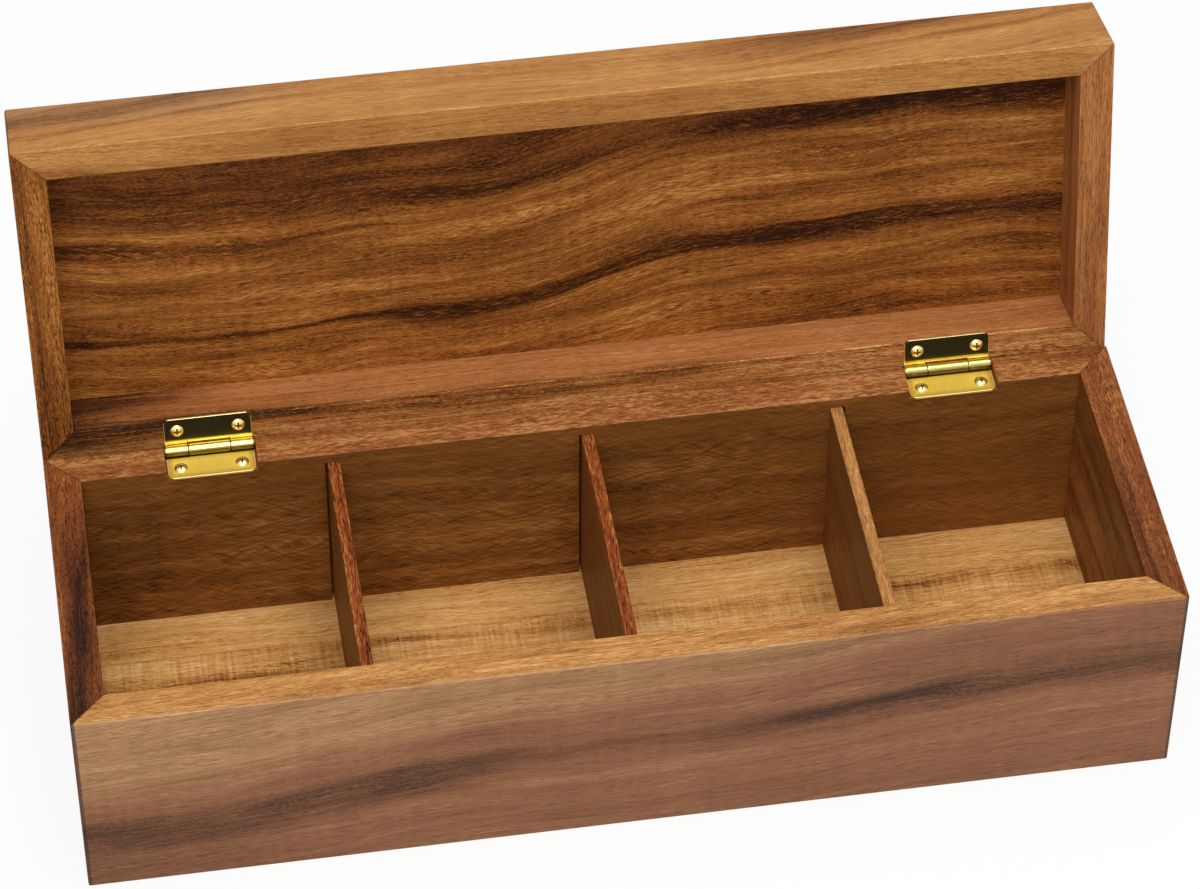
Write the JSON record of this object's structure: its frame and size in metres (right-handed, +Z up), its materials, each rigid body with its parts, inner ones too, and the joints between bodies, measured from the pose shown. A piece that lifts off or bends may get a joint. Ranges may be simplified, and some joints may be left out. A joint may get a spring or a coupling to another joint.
{
  "type": "tea bag organizer box",
  "caption": "Rectangular wooden box with mitred corners, fixed dividers that form square compartments, and a deep hinged lid standing open on brass butt hinges.",
  "frame": {"origin": "centre of the underside of the base, on the surface it stands on", "axes": "+X along the length, +Y towards the hinges, +Z up"},
  "size_m": [0.34, 0.1641, 0.1802],
  "materials": {
    "acacia_front": "oiled, satin",
    "acacia_board": "oiled, satin",
    "acacia_end_board": "oiled, satin",
    "acacia_floor": "oiled, satin",
    "acacia_lid_frame": "oiled, satin",
    "acacia_lid_panel": "oiled, satin",
    "acacia_divider": "oiled, satin",
    "brass": "polished",
    "brass_screw": "polished"
  },
  "bodies": {
    "base": {"base_front_board": "acacia_front", "base_back_board": "acacia_board", "base_left_board": "acacia_end_board", "base_right_board": "acacia_end_board", "base_floor_panel": "acacia_floor", "divider_left": "acacia_divider", "divider_middle": "acacia_divider", "divider_right": "acacia_divider", "left_hinge_base_leaf": "brass", "left_hinge_pin": "brass", "left_hinge_base_screws": "brass_screw", "right_hinge_base_leaf": "brass", "right_hinge_pin": "brass", "right_hinge_base_screws": "brass_screw"},
    "lid": {"lid_front_board": "acacia_lid_frame", "lid_back_board": "acacia_lid_frame", "lid_left_board": "acacia_lid_frame", "lid_right_board": "acacia_lid_frame", "lid_top_panel": "acacia_lid_panel", "left_hinge_lid_leaf": "brass", "left_hinge_lid_screws": "brass_screw", "right_hinge_lid_leaf": "brass", "right_hinge_lid_screws": "brass_screw"}
  },
  "joints": [
    {"name": "lid_hinge", "type": "hinge", "parent": "base", "child": "lid", "pos_m": [0, 0.0547, 0.07335], "axis": [1, 0, 0], "range_deg": [0, 103]}
  ]
}
